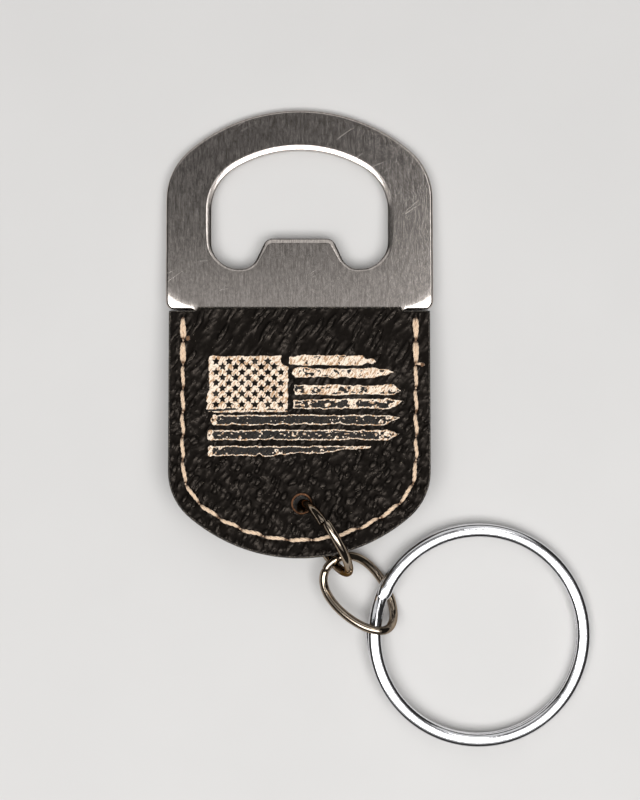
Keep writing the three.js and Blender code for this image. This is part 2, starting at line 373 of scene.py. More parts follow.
# ---- steel plate ----
SHOULDER_WEAR = 0.14


def steel_top(x, y):
    """Height of the plate's upper face: flat, but worn down beside the leather at the shoulder corners."""
    past_lap = np.abs(x) - LAP_HALF
    worn = smoothstep(0.1, 0.7, past_lap)
    tall = 0.7 + 3.6 * np.clip((past_lap - 0.4) / 5, 0, 1) ** 2
    return STEEL - SHOULDER_WEAR * worn * tall * np.clip(1 - np.abs(y) / tall, 0, 1) ** 2


def edge_rings(loop, into, reach, drop, bevel, steps=10):
    """Rings of a softened edge, from the upper face over both corners to the lower face."""
    turn = np.linspace(0, QUARTER, steps + 1)
    fall = bevel * np.sin(turn) + (1 - bevel) * (1 - np.cos(turn))
    profile = [(reach + 0.1, 0 * reach)]
    profile += [(reach * (1 - math.sin(a)), drop * f) for a, f in zip(turn, fall)]
    upper, lower = [], []
    for inset, down in profile:
        flat = loop + into * inset[:, None]
        upper.append(at_height(flat, steel_top(flat[:, 0], flat[:, 1]) - down))
        lower.append(at_height(flat, down - STEEL))
    return upper + lower[::-1]


def steel_plate(material):
    outline = resampled(plate_outline(), 0.3)
    mouth = resampled(mouth_outline(), 0.3)[::-1]
    eye = circle(EYE, EYE_IN_STEEL, 40)[::-1]
    worn = smoothstep(2, 15, mouth[:, 1])
    in_head = smoothstep(-0.4, 0.6, outline[:, 1])
    edges = [
        (outline, 1, 0.2 + 0.22 * in_head, 0.2 + 0.22 * in_head, 0.0),
        (mouth, -1, 0.18 + 0.67 * worn, 0.18 + 0.1 * worn, 0.5),
        (eye, -1, np.full(len(eye), 0.2), np.full(len(eye), 0.2), 0.0),
    ]
    build = Build()
    caps = [[], []]
    for loop, side, reach, drop, bevel in edges:
        rings = edge_rings(loop, inward(loop) * side, reach, drop, bevel)
        build.add(np.vstack(rings), ring_quads(len(rings), len(loop)))
        caps[0].append(rings[0][:, :2])
        caps[1].append(rings[-1][:, :2])
    corners, faces = filled(caps[0], lattice(caps[0], 0.5, 0.3))
    build.add(at_height(corners, steel_top(corners[:, 0], corners[:, 1])), faces)
    corners, faces = filled(caps[1])
    build.add(at_height(corners, -STEEL), faces)
    return build.piece("steel_plate", [material], "opener", "opener_plate", sharp=14)


# ---- leather ----
GRAIN_TURN = math.radians(58)
EDGE_SOFT = [(0.0, 0.3), (0.12, 0.16), (0.26, 0.05), (0.4, 0.0)]  # inset from the cut, drop below the face


def grain(x, y, seed):
    """Grain from 0 in the creases to 1 on the tops: diagonal folds by the steel, pebbles lower down."""
    wx = x + 0.4 * noise(x / 2.6, y / 2.6, seed + 5)
    wy = y + 0.4 * noise(x / 2.6, y / 2.6, seed + 6)
    u = wx * math.cos(GRAIN_TURN) + wy * math.sin(GRAIN_TURN)
    v = -wx * math.sin(GRAIN_TURN) + wy * math.cos(GRAIN_TURN)
    near, tone = cells(u / 1.7, v / 1.0, seed + 10)
    pebbles = smoothstep(0.75, 0.15, near) * (0.3 + 0.7 * tone)
    near, tone = cells(u / 4.4, v / 1.2, seed + 20)
    folds = smoothstep(0.7, 0.15, near) * (0.35 + 0.65 * tone)
    upper = smoothstep(-20, -6, y + 3 * noise(x / 6, y / 6, seed + 8))
    near, tone = cells(u / 0.95, v / 0.5, seed + 33)
    small = smoothstep(0.75, 0.1, near) * tone
    fine = 0.6 * noise(u / 0.6, v / 0.24, seed + 30) + 0.4 * noise(x / 0.28, y / 0.28, seed + 31)
    return 0.68 * (pebbles * (1 - upper) + folds * upper) + 0.16 * small + 0.08 * (1 + fine)


def seam_distance(x, y):
    line = seam_line()
    points = np.stack([x, y], 1)
    best = np.full(len(x), 1e9)
    for a, b in zip(line[:-1], line[1:]):
        ab = b - a
        t = np.clip(((points - a) @ ab) / (ab @ ab), 0, 1)
        best = np.minimum(best, np.linalg.norm(points - a - t[:, None] * ab, axis=1))
    return best


def leather_relief(x, y, seed, eye):
    """(height above the flat face in mm, grain from 0 to 1)."""
    tops = grain(x, y, seed)
    height = 0.35 * (tops - 0.45) + 0.03 * noise(x / 5, y / 5, seed + 40)
    height = height - 0.15 * np.exp(-((seam_distance(x, y) / 0.65) ** 2))
    for px, py in needle_points():
        height = height - 0.32 * np.exp(-((np.hypot(x - px, y - py) / 0.4) ** 2))
    from_eye = np.hypot(x - eye[0], y - eye[1])
    height = height + 0.09 * np.exp(-(((from_eye - EYE_R - 0.55) / 0.3) ** 2))
    height = height - 0.1 * np.exp(-(((from_eye - EYE_R) / 0.2) ** 2))
    return height, tops


def lattice(loops, spacing, margin):
    """Evenly scattered points inside the first outline, clear of every outline by a margin."""
    low, high = loops[0].min(0), loops[0].max(0)
    x, y = np.meshgrid(np.arange(low[0], high[0], spacing), np.arange(low[1], high[1], spacing * 0.87))
    x = x + (np.arange(x.shape[0]) % 2)[:, None] * spacing / 2
    points = np.stack([x.ravel(), y.ravel()], 1)
    points = points[inside(points, loops[0])]
    for hole in loops[1:]:
        points = points[~inside(points, hole)]
    for loop in loops:
        points = points[distance(points, loop) > margin]
    return points


def leather_panel(name, node, side, materials, spacing, seed):
    eye_at = (EYE[0] * side, EYE[1])
    outline = resampled(grip_outline(), 0.24)
    eye = circle(eye_at, EYE_R, 56)[::-1]
    soft_end = EDGE_SOFT[-1][0]
    bottom = STEEL + GLUE
    build = Build()
    inner = []
    for loop, into, cut, flare in ((outline, inward(outline), 1, 0.0), (eye, -inward(eye), 2, EYE_FLARE)):
        rings, relief = [], []
        for inset, drop in EDGE_SOFT[::-1]:
            flat = loop + into * inset
            height, tops = leather_relief(flat[:, 0], flat[:, 1], seed, eye_at)
            rings.append(at_height(flat, FACE - drop + height * (0.4 + 0.6 * inset / soft_end)))
            relief.append(tops)
        inner.append(rings[0][:, :2])
        build.add(np.vstack(rings[:2]), ring_quads(2, len(loop)), 0, np.concatenate(relief[:2]))
        build.add(np.vstack(rings[1:]), ring_quads(len(rings) - 1, len(loop)), cut)
        wall = cut_wall(loop, into, rings[-1][:, 2], bottom, seed + cut, flare)
        build.add(np.vstack(wall), ring_quads(len(wall), len(loop)), 1)
        inner.append(wall[-1][:, :2])
    top, under = inner[0::2], inner[1::2]
    corners, faces = filled(top, lattice(top, spacing, 0.6 * spacing))
    height, tops = leather_relief(corners[:, 0], corners[:, 1], seed, eye_at)
    build.add(at_height(corners, FACE + height), faces, 0, tops)
    corners, faces = filled(under)
    build.add(at_height(corners, bottom), faces, 1)
    if side < 0:
        build.turned_over()
    return build.piece(name, materials, "opener", node, sharp=70)


def cut_wall(loop, into, top, bottom, seed, flare=0.0, levels=5, rough=0.05):
    """Rings down a raw cut edge, torn a little into the leather and leaning out by the flare."""
    walls = []
    at = np.arange(len(loop))
    for t in np.linspace(0, 1, levels + 1):
        z = top * (1 - t) + bottom * t
        torn = noise(at / 2.3, z * 6 + 9 * t, seed) + 0.6 * noise(at / 0.9, z * 9 + 7 * t, seed + 3)
        torn = (rough * np.abs(torn) + 0.02) * math.sin(math.pi * t) - flare * t
        walls.append(at_height(loop + into * torn[:, None], z))
    return walls


def core_outline():
    half = GRIP["half"]
    tail = arch(**GRIP)[::-1]
    slot = tang_end(CORE_GAP)
    root = np.array([[slot[0][0], LAP_UNDER]])
    return np.vstack([[[-half, LAP_UNDER]], tail, [[half, LAP_UNDER]], root, slot, root * (-1, 1)])


def filler_core(material):
    loop = resampled(core_outline(), 0.3)
    build = Build()
    wall = cut_wall(loop, inward(loop), np.full(len(loop), STEEL), -STEEL, 71, levels=8, rough=0.07)
    build.add(np.vstack(wall), ring_quads(len(wall), len(loop)))
    for ring, z in ((wall[0], STEEL), (wall[-1], -STEEL)):
        corners, faces = filled([ring[:, :2]])
        build.add(at_height(corners, z), faces)
    return build.piece("grip_filler", [material], "opener", "filler_core", sharp=50)


# ---- sweeps ----
SKY = np.array([0.0, 0.0, 1.0])


def frames_along(points, up):
    """Across and up directions along a line, turning no more than the line itself does."""
    along = np.gradient(points, axis=0)
    along /= np.linalg.norm(along, axis=1, keepdims=True)
    across, ups = [], []
    for t in along:
        side = np.cross(up, t)
        side /= np.linalg.norm(side)
        up = np.cross(t, side)
        across.append(side)
        ups.append(up)
    return np.array(across), np.array(ups)


def swept(build, points, across, up, section, size=None, shade_and_singe=None):
    """A closed bar: the section carried along the points, its size and its painted shade changing if asked.
    """
    count = len(section)
    size = np.ones(len(points)) if size is None else size
    shade_and_singe = np.ones(len(points)) if shade_and_singe is None else shade_and_singe
    spread = across[:, None] * section[None, :, :1] + up[:, None] * section[None, :, 1:]
    body = (points[:, None] + spread * size[:, None, None]).reshape(-1, 3)
    j = np.arange(count)
    k = (j + 1) % count
    end = (len(points) - 1) * count
    first = build.count
    build.add(np.vstack([body, points[:1], points[-1:]]), ring_quads(len(points), count),
              relief=np.concatenate([np.repeat(shade_and_singe, count), shade_and_singe[:1], shade_and_singe[-1:]]))
    tips = np.vstack([
        np.stack([np.full(count, len(body)), k, j], 1),
        np.stack([np.full(count, len(body) + 1), end + j, end + k], 1),
    ])
    build.faces.extend((tips + first).tolist())
    build.kinds.extend([0] * len(tips))


# ---- thread ----
PLIES = 3
PLY_TURN = 2.7  # millimetres of stitch for one turn of the twist
DOUBLED = (0, 1, STITCHES - 2, STITCHES - 1)  # stitches sewn twice to lock the seam


def stitch(build, start, end, z, seed, lean=0.0, shift=0.0, thick=1.0):
    """One stitch: plies twisted round a line that bows up out of one needle hole and down into the next."""
    steps = 30
    t = np.linspace(0, 1, steps)
    run = end - start
    length = np.linalg.norm(run)
    side = np.array([-run[1], run[0]]) / length
    middle_shift = shift * np.sin(math.pi * t) ** 0.5
    sideways = lean * (t - 0.5) * np.sin(math.pi * t) + middle_shift
    flat = start + run * t[:, None] + side * sideways[:, None]
    sunk = np.abs(2 * t - 1) ** 3
    middle = np.column_stack([flat, z - 1.1 * sunk + 0.06 * np.sin(math.pi * t)])
    across, up = frames_along(middle, SKY)
    taper = 0.5 + 0.5 * (1 - np.abs(2 * t - 1) ** 3)
    offset = 0.47 * THREAD * thick
    section = circle((0, 0), 0.57 * THREAD * thick, 10)
    # painted shade: the thread darkens to brown towards each end, where it dips into a needle hole
    shade_and_singe = 1 - smoothstep(0.55, 0.85, np.abs(2 * t - 1))
    for ply in range(PLIES):
        a = 2 * math.pi * (ply / PLIES + length * t / PLY_TURN) + seed
        line = middle + (across * np.cos(a)[:, None] + up * np.sin(a)[:, None]) * (offset * taper)[:, None]
        ply_across, ply_up = frames_along(line, SKY)
        swept(build, line, ply_across, ply_up, section, taper, shade_and_singe)


def thread_lump(build, centre, r, seed, shade_and_singe=0.0):
    """A lump of thread: singed dark brown at the seam's two ends, and given a painted shade where it sits
    down in a needle hole.
    """
    rows, columns = 9, 12
    lift = np.linspace(-QUARTER * 0.98, QUARTER * 0.98, rows)[:, None]
    turn = np.linspace(0, 2 * math.pi, columns, endpoint=False)[None, :]
    x = np.cos(lift) * np.cos(turn)
    y = np.cos(lift) * np.sin(turn)
    z = np.sin(lift) + 0 * turn
    lump = r * (1 + 0.22 * noise(x * 2 + 9, y * 2 + z, seed))
    points = np.stack([x * lump, y * lump, 0.8 * z * lump], 2).reshape(-1, 3) + centre
    build.add(points, ring_quads(rows, columns), relief=np.full(len(points), shade_and_singe))
    build.faces.append([build.count - columns + i for i in range(columns)])
    build.faces.append([build.count - rows * columns + i for i in range(columns)][::-1])
    build.kinds.extend([0, 0])


def stitching(name, node, side, material):
    build = Build()
    rest = FACE + 0.6 * THREAD
    needles = needle_points()
    for i in range(STITCHES):
        twice = i in DOUBLED
        lean = 0.5 * (1 + 0.4 * math.sin(5.1 * i))
        thick = 0.82 if twice else 0.97 + 0.05 * math.sin(3.3 * i)
        stitch(build, needles[i], needles[i + 1], rest, 1.7 * i, lean, -0.2 if twice else 0.0, thick)
        if twice:
            stitch(build, needles[i], needles[i + 1], rest + 0.04, 0.9 * i, -0.2, 0.24, 0.8)
    for i, (x, y) in enumerate(needles[1:-1]):
        # the thread showing down in each needle hole, darkened by a painted shade
        thread_lump(build, (x, y, FACE - 0.16), 0.16, i, 0.2 + 0.2 * (i % 3))
    right, left = needles[2] + (1.05, -0.1), needles[-2] + (0.8, 0.3)
    stitch(build, needles[2] + (0, 0.15), right + (0.5, -0.1), FACE + 0.12, 0.4, thick=0.7)
    thread_lump(build, (*right, FACE + 0.2), 0.36, 40)
    thread_lump(build, (*left, FACE + 0.2), 0.4, 41)
    if side < 0:
        build.turned_over()
    return build.piece(name, [material], "opener", node, sharp=60)


# ---- engraved flag ----
FLAG_CELL = 0.075
CANTON = (-15.3, -1.9, -17.2, -7.9)  # left, right, bottom, top
CANTON_STEP = (-13.9, 0.35)  # above this height the canton's left side is this much further in
STRIPE_HALF = 0.82
STRIPES = [  # left end, right end, middle height, share engraved pale, which way the torn end tapers
    (-1.85, 13.0, -8.67, 0.74, -0.3),
    (-1.0, 15.3, -10.7, 0.7, 0.0),
    (-0.9, 16.8, -13.5, 0.5, -0.3),
    (-0.9, 16.9, -15.9, 0.37, 0.6),
    (-14.4, 16.8, -18.5, 0.24, 0.6),
    (-15.0, 16.1, -21.0, 0.27, 0.2),
    (-15.1, 12.2, -23.6, 0.22, 0.9),
]
STAR_ROWS = 9
STAR_PITCH = (2.136, 0.893)
STAR_FIRST = (-13.74, -8.8)
STAR_R = 0.72


def star(x, y, r):
    """Positive inside a five-pointed star of outer radius r, negative outside, nearly a distance."""
    turn = 2 * math.pi / 5
    a = np.mod(np.arctan2(x, y) + turn / 2, turn) - turn / 2
    px, py = np.hypot(x, y) * np.abs(np.sin(a)), np.hypot(x, y) * np.cos(a)
    inner = 0.5 * r
    ex, ey = inner * math.sin(turn / 2), inner * math.cos(turn / 2) - r
    return -((py - r) * ex - px * ey) / math.hypot(ex, ey)


def soft_corner(a, b, r=0.4):
    """The smaller of two insets, rounded where they meet."""
    return r - np.hypot(np.maximum(r - a, 0), np.maximum(r - b, 0))


def stripe_shape(x, y, i):
    """How far inside stripe i a point is, with ragged edges and a torn, tapering right end."""
    left, right, middle, _, drift = STRIPES[i]
    torn = noise(x / 1.1, x * 0 + 5 * i, 61)
    reach = 2.6 + 1.0 * math.sin(2.1 * i) + (13 if i == len(STRIPES) - 1 else 0)
    to_end = np.clip((right - x) / reach, 0, 1)
    spike = 1.4 if i == 0 else 0.7
    taper = np.clip(to_end + 0.3 * torn * np.sqrt(to_end), 0, 1) ** spike
    half = STRIPE_HALF * (0.02 + 0.98 * taper)
    centre = middle + drift * (STRIPE_HALF - half) + 0.08 * noise(x / 5, x * 0 + i, 60)
    ragged = 0.1 * noise(x / 0.8, y / 0.8, 70 + i) + 0.07 * noise(x / 0.3, y / 0.3, 80 + i)
    within = half + ragged - np.abs(y - centre)
    jagged = 0.3 * noise(y / 0.45, x * 0, 90 + i)
    torn_off = right - x + 2.5 * np.minimum(jagged, 0.1)
    return np.minimum(soft_corner(within, x - left + jagged), torn_off)


def flag_fields(x, y):
    """(pale, dull): positive where the face is engraved pale, and where it is only scorched."""
    pale = np.full(x.shape, -9.0)
    whole = np.full(x.shape, -9.0)
    coarse = noise(x / 1.5, y / 0.8, 110)
    medium = noise(x / 0.55, y / 0.4, 120)
    fine = noise(x / 0.22, y / 0.2, 121)
    mottle = 0.55 * coarse + 0.45 * medium + 0.35 * fine
    specks = 0.2 * coarse + 0.5 * noise(x / 0.36, y / 0.26, 122) + 0.5 * fine
    for i, (left, right, middle, share, _) in enumerate(STRIPES):
        shape = stripe_shape(x, y, i)
        faded = share < 0.3
        line = 0.16 + (0.04 if faded else 0.09) * noise(x / 0.7, y / 0.7, 100 + i)
        ends = smoothstep(5.0, 1.0, right - x) * (share < 0.5)
        kept = (specks if faded else mottle) + 1.9 * (share - 0.5) + 0.45 * ends
        pale = np.maximum(pale, np.minimum(shape, np.maximum(line - shape, 0.3 * kept)))
        if faded:
            knobs = 0.42 - np.hypot(x - left - 0.45, np.abs(y - middle) - 0.46) + 0.08 * medium
            pale = np.maximum(pale, knobs)
        whole = np.maximum(whole, shape)
    left, right, bottom, top = CANTON
    ragged = 0.14 * noise(x / 0.8, y / 0.8, 140) + 0.08 * noise(x / 0.28, y / 0.28, 141)
    bites = 0.9 * np.maximum(noise(x / 1.4, y / 0.75, 143) - 0.5, 0)
    step_y, step_in = CANTON_STEP
    from_left = x - left - step_in * smoothstep(step_y - 0.2, step_y + 0.2, y)
    block = soft_corner(np.minimum(from_left, right - x), np.minimum(y - bottom, top - y)) + ragged
    bitten_corner = np.hypot(x - right, y - top + 0.6) - 1.2
    block = np.minimum(block - bites * (x < left + 1.6), bitten_corner + 0.7 * ragged)
    stars = np.full(x.shape, -9.0)
    for row in range(STAR_ROWS):
        odd = row % 2
        for column in range(6 - odd - (row == 0)):
            cx = STAR_FIRST[0] + STAR_PITCH[0] * (column + odd / 2)
            cy = STAR_FIRST[1] - STAR_PITCH[1] * row
            near = (np.abs(x - cx) < 1) & (np.abs(y - cy) < 1)
            wobble = 0.05 * noise(x[near] / 0.3, y[near] / 0.3, 144)
            stars[near] = np.maximum(stars[near], star(x[near] - cx, y[near] - cy, STAR_R) + wobble)
    above = y - bottom + 0.12 * noise(x / 0.7, y * 0, 145)
    low_row = smoothstep(0.75, 0.45, above) * smoothstep(0.14, 0.3, above)
    kept = mottle + 0.85 + 0.3 * smoothstep(-9, -6, x) - 1.1 * low_row
    canton = np.minimum(block, np.minimum(-stars, 0.3 * kept))
    pale = np.maximum(pale, canton)
    whole = np.maximum(whole, np.minimum(block, -stars))
    return pale, np.minimum(whole, -pale)


def flag_mesh(name, field_index, material, lift, seed):
    """A thin skin over the leather where the field is positive, its outline pulled to the field's edge."""
    x = np.arange(-16, 17.6, FLAG_CELL)
    y = np.arange(-25.2, -6.9, FLAG_CELL)
    gx, gy = np.meshgrid(x, y, indexing="ij")
    field = flag_fields(gx, gy)[field_index]
    on = (field[:-1, :-1] + field[1:, :-1] + field[:-1, 1:] + field[1:, 1:]) > 0
    near = np.zeros(field.shape, int)
    for dx in (0, 1):
        for dy in (0, 1):
            near[dx : dx + on.shape[0], dy : dy + on.shape[1]] += on
    edge = (near > 0) & (near < 4)
    fx, fy = np.gradient(field, FLAG_CELL)
    steep = np.maximum(np.hypot(fx, fy), 0.4)
    step = np.clip(-field / steep, -0.55 * FLAG_CELL, 0.55 * FLAG_CELL) * edge
    px, py = gx + step * fx / steep, gy + step * fy / steep
    used = near > 0
    number = np.full(field.shape, -1)
    number[used] = np.arange(used.sum())
    height, _ = leather_relief(px[used], py[used], seed, EYE)
    flat = np.column_stack([px[used], py[used]])
    i, j = np.nonzero(on)
    quads = np.stack([number[i, j], number[i + 1, j], number[i + 1, j + 1], number[i, j + 1]], 1)
    sides = np.vstack([quads[:, [k, (k + 1) % 4]] for k in range(4)])
    joined = {(a, b) for a, b in sides.tolist()}
    rim = np.array([(a, b) for a, b in sides.tolist() if (b, a) not in joined])
    count = len(flat)
    build = Build()
    skin = np.vstack([at_height(flat, FACE + height + lift), at_height(flat, FACE + height - 0.06)])
    build.add(skin, quads)
    build.faces.extend((quads[:, ::-1] + count).tolist())
    walls = np.column_stack([rim[:, 1], rim[:, 0], rim[:, 0] + count, rim[:, 1] + count])
    build.faces.extend(walls.tolist())
    build.kinds.extend([0] * (len(quads) + len(rim)))
    return build.piece(name, [material], "opener", None, sharp=80)


# ---- rings ----
def jump_frame():
    heading, lean = JUMP["heading"], JUMP["lean"]
    out = np.array([math.cos(heading), math.sin(heading), 0])
    side = np.array([-out[1], out[0], 0])
    up = np.array([0, 0, math.cos(lean)]) + side * math.sin(lean)
    eye = np.array(joint_point("swivel") - TABLE.translation)
    height = JUMP["radius"] * math.cos(lean) + JUMP["wire"]
    down = (eye[2] - height) / math.cos(lean) / JUMP["radius"]
    centre = eye - JUMP["radius"] * (-out * math.sqrt(1 - down * down) + up * down)
    centre[2] = height
    return centre, out, up


def round_and_back(start, opening, steps):
    return np.linspace(start + opening / 2, start + 2 * math.pi - opening / 2, steps)


def wire_ring(name, node, points, normal, wire, material, mismatch):
    """A bent wire ring, a hair thinner than nominal, whose two cut ends meet with a small sideways step."""
    count = len(points)
    step = mismatch * (np.linspace(1, 0, count) ** 24 - np.linspace(0, 1, count) ** 24)
    points = points + step[:, None] * normal
    across, up = frames_along(points, normal)
    ends = np.minimum(np.arange(count), np.arange(count)[::-1])
    size = np.where(ends == 0, 0.86, np.where(ends == 1, 0.97, 1.0))
    build = Build()
    swept(build, points, across, up, circle((0, 0), WIRE_EASE * wire, 28), size)
    return build.piece(name, [material], node, node, TABLE, sharp=50)


def jump_ring(material):
    centre, out, up = jump_frame()
    a = round_and_back(JUMP["seam"], SEAM_OPENING, 150)[:, None]
    points = centre + JUMP["radius"] * (out * np.cos(a) + up * np.sin(a))
    return wire_ring("eye_ring", "jump_ring", points, np.cross(out, up), JUMP["wire"], material, 0.25)


def link_points(a):
    heading = LINK["heading"]
    out = np.array([math.cos(heading), math.sin(heading), 0])
    side = np.array([-out[1], out[0], 0])
    roll = LINK["roll"] + LINK["twist"] * np.cos(a)
    sideways = LINK["wide"] * np.sin(a)
    along = LINK["long"] * np.cos(a) + LINK["square"] * np.cos(3 * a)
    height = LINK["pitch"] * np.cos(a) + LINK["bow"] * np.cos(2 * a) - sideways * np.sin(roll)
    flat = out * along[:, None] + side * (sideways * np.cos(roll))[:, None]
    return np.array(LINK["centre"]) + flat + SKY * height[:, None]


def chain_link(material):
    points = link_points(round_and_back(LINK_SEAM, SEAM_OPENING, 170))
    return wire_ring("twisted_link", "chain_link", points, SKY, LINK["wire"], material, 0.05)


def key_ring(material):
    """Two stacked turns of one flattened wire, which steps from one to the other between its two ends."""
    radius = KEY["outer"] - KEY["width"] / 2
    rise = KEY["coil"] + KEY["gap"]
    start = KEY["jog_half"]
    along = np.linspace(start, 4 * math.pi - start, 420)
    into_jog = np.clip((along - 2 * math.pi + start) / (2 * start), 0, 1)
    into_jog = 0.7 * into_jog + 0.3 * smoothstep(0, 1, into_jog)
    a = KEY["jog"] + along
    from_start = along - start
    from_end = along - 4 * math.pi + start
    splay = 0.22 * np.exp(-((from_start / 0.25) ** 2)) - 0.12 * np.exp(-((from_end / 0.2) ** 2))
    across = np.column_stack([np.cos(a), np.sin(a), 0 * a])
    points = across * (radius + splay)[:, None] + SKY * (rise * (into_jog - 0.5))[:, None]
    w, h = KEY["width"] / 2, KEY["coil"] / 2
    turn = np.linspace(0, 2 * math.pi, 36, endpoint=False)
    round_off = 2 / 2.1  # a flattened round wire: a little fuller than an ellipse
    section = np.column_stack([
        w * np.sign(np.cos(turn)) * np.abs(np.cos(turn)) ** round_off,
        h * np.sign(np.sin(turn)) * np.abs(np.sin(turn)) ** round_off,
    ])
    up = np.tile(SKY, (len(a), 1))
    ends = np.minimum(np.arange(len(a)), np.arange(len(a))[::-1])
    size = np.where(ends == 0, 0.88, np.where(ends == 1, 1.0, np.where(ends < 4, 1.06, 1.0)))
    build = Build()
    swept(build, points, across, up, section, size)
    return build.piece("split_ring", [material], "key_ring", "key_ring", key_place(), sharp=35)


def key_place():
    """Where the key ring lies: its hinge is on its own wire, and its hinge axis gives its small tip."""
    held, axis = joint_point("lift"), joint_axis("lift")
    radius = KEY["outer"] - KEY["width"] / 2
    tip = math.asin(axis.z / math.sin(KEY_HELD))
    turn = Matrix.Rotation(tip, 4, "Y")
    on_ring = Vector((math.cos(KEY_HELD), math.sin(KEY_HELD), 0)) * radius
    return Matrix.Translation(held - turn @ on_ring) @ turn


# ---- materials ----
class Nodes:
    """One material's node tree. Sizes are in millimetres on the piece itself."""

    def __init__(self, name, **sockets):
        self.material = bpy.data.materials.new(name)
        self.material.use_nodes = True
        self.tree = self.material.node_tree
        self.shader = self.tree.nodes["Principled BSDF"]
        for socket, value in sockets.items():
            self.put(socket.replace("_", " "), value)

    def put(self, socket, value, node=None):
        target = (node or self.shader).inputs[socket]
        if isinstance(value, bpy.types.NodeSocket):
            self.tree.links.new(value, target)
        else:
            target.default_value = (*value, 1) if target.type == "RGBA" else value

    def add(self, kind, inputs, **settings):
        node = self.tree.nodes.new(kind)
        for key, value in settings.items():
            setattr(node, key, value)
        for socket, value in inputs.items():
            self.put(socket, value, node)
        return node

    def place(self, size, turn=0.0):
        """Position on the piece, turned about Z and counted in steps of the given size."""
        coords = self.tree.nodes.new("ShaderNodeTexCoord").outputs["Object"]
        inputs = {"Vector": coords, "Angle": turn}
        turned = self.add("ShaderNodeVectorRotate", inputs, rotation_type="Z_AXIS").outputs[0]
        steps = [1 / (s * MM) for s in size]
        return self.add("ShaderNodeMapping", {"Vector": turned, "Scale": steps}).outputs[0]

    def noise(self, size, detail=2.0, turn=0.0):
        inputs = {"Vector": self.place(size, turn), "Scale": 1.0, "Detail": detail, "Roughness": 0.55}
        return self.add("ShaderNodeTexNoise", inputs).outputs["Fac"]

    def scratches(self, size, turn, width):
        """Thin long lines: the borders of very long cells."""
        inputs = {"Vector": self.place(size, turn), "Scale": 1.0}
        edge = self.add("ShaderNodeTexVoronoi", inputs, feature="DISTANCE_TO_EDGE").outputs["Distance"]
        return self.ramp(edge, width, 0.0)

    def relief(self):
        return self.add("ShaderNodeAttribute", {}, attribute_name="relief").outputs["Fac"]

    def ramp(self, value, low, high, first=0.0, last=1.0):
        inputs = {"Value": value, "From Min": low, "From Max": high, "To Min": first, "To Max": last}
        return self.add("ShaderNodeMapRange", inputs, interpolation_type="SMOOTHSTEP").outputs[0]

    def times(self, a, b):
        node = self.add("ShaderNodeMath", {}, operation="MULTIPLY")
        for i, value in enumerate((a, b)):
            self.put(i, value, node)
        return node.outputs[0]

    def blend(self, amount, a, b):
        node = self.add("ShaderNodeMix", {}, data_type="RGBA")
        for i, value in ((0, amount), (6, a), (7, b)):
            self.put(i, value, node)
        return node.outputs[2]

    def bump(self, height, depth, under=None):
        inputs = {"Height": height, "Strength": 1.0, "Distance": depth * MM}
        if under:
            inputs["Normal"] = under
        return self.add("ShaderNodeBump", inputs).outputs[0]


def brushed_steel():
    m = Nodes("brushed_steel", Metallic=1.0)
    lines = m.noise((0.055, 2.6, 2.0), 2)
    tone = m.blend(m.ramp(lines, 0.3, 0.7), (0.43, 0.385, 0.355), (0.75, 0.69, 0.645))
    tone = m.blend(m.ramp(m.noise((0.3, 0.6, 0.3), 5), 0.4, 0.65, 0.0, 0.5), tone, (0.33, 0.295, 0.27))
    bright = m.ramp(m.noise((0.25, 0.25, 0.25), 1), 0.735, 0.77)
    tone = m.blend(m.times(bright, 0.7), tone, (0.95, 0.9, 0.82))
    worn = m.ramp(m.noise((7, 7, 7), 1), 0.6, 0.68)
    marks = m.times(m.scratches((5, 60, 5), math.radians(57), 0.006), worn)
    tone = m.blend(m.times(marks, 0.3), tone, (0.85, 0.81, 0.76))
    m.put("Base Color", tone)
    m.put("Roughness", m.ramp(m.noise((0.4, 2, 2), 3), 0.3, 0.7, 0.15, 0.19))
    ridges = m.bump(lines, 0.002)
    m.put("Normal", m.bump(marks, 0.004, ridges))
    return m.material


def black_leather():
    m = Nodes("black_leather", Specular_IOR_Level=0.2, Specular_Tint=(1.0, 0.84, 0.72))
    patches = m.noise((6, 6, 6), 3)
    # painted highlight and shade: the base colour is lighter on the grain's tops and darker in its creases,
    # by more or less in large patches
    tops = m.times(m.ramp(m.relief(), 0.25, 0.8), m.ramp(patches, 0.3, 0.7, 0.5, 1.0))
    tone = m.blend(tops, (0.0015, 0.0011, 0.0009), (0.013, 0.011, 0.0095))
    dust = m.ramp(m.noise((0.16, 0.16, 0.16), 1), 0.78, 0.81)
    m.put("Base Color", m.blend(dust, tone, (0.5, 0.42, 0.32)))
    m.put("Roughness", m.ramp(m.relief(), 0.1, 0.55, 0.85, 0.22))
    pores = m.bump(m.noise((0.13, 0.13, 0.13), 3), 0.025, m.bump(m.relief(), 0.3))
    m.put("Normal", m.bump(m.noise((0.45, 0.45, 0.45), 3), 0.02, pores))
    return m.material


def cut_leather(name="cut_leather_edge", fibre=(0.024, 0.02, 0.017), fleck=(0.45, 0.38, 0.3)):
    m = Nodes(name, Roughness=0.85)
    flecks = m.ramp(m.noise((0.14, 0.14, 0.08), 2), 0.58, 0.66)
    tone = m.blend(m.ramp(m.noise((0.6, 0.6, 0.3), 3), 0.35, 0.65), [0.4 * c for c in fibre], fibre)
    m.put("Base Color", m.blend(flecks, tone, fleck))
    m.put("Normal", m.bump(m.noise((0.14, 0.14, 0.07), 3), 0.07))
    return m.material


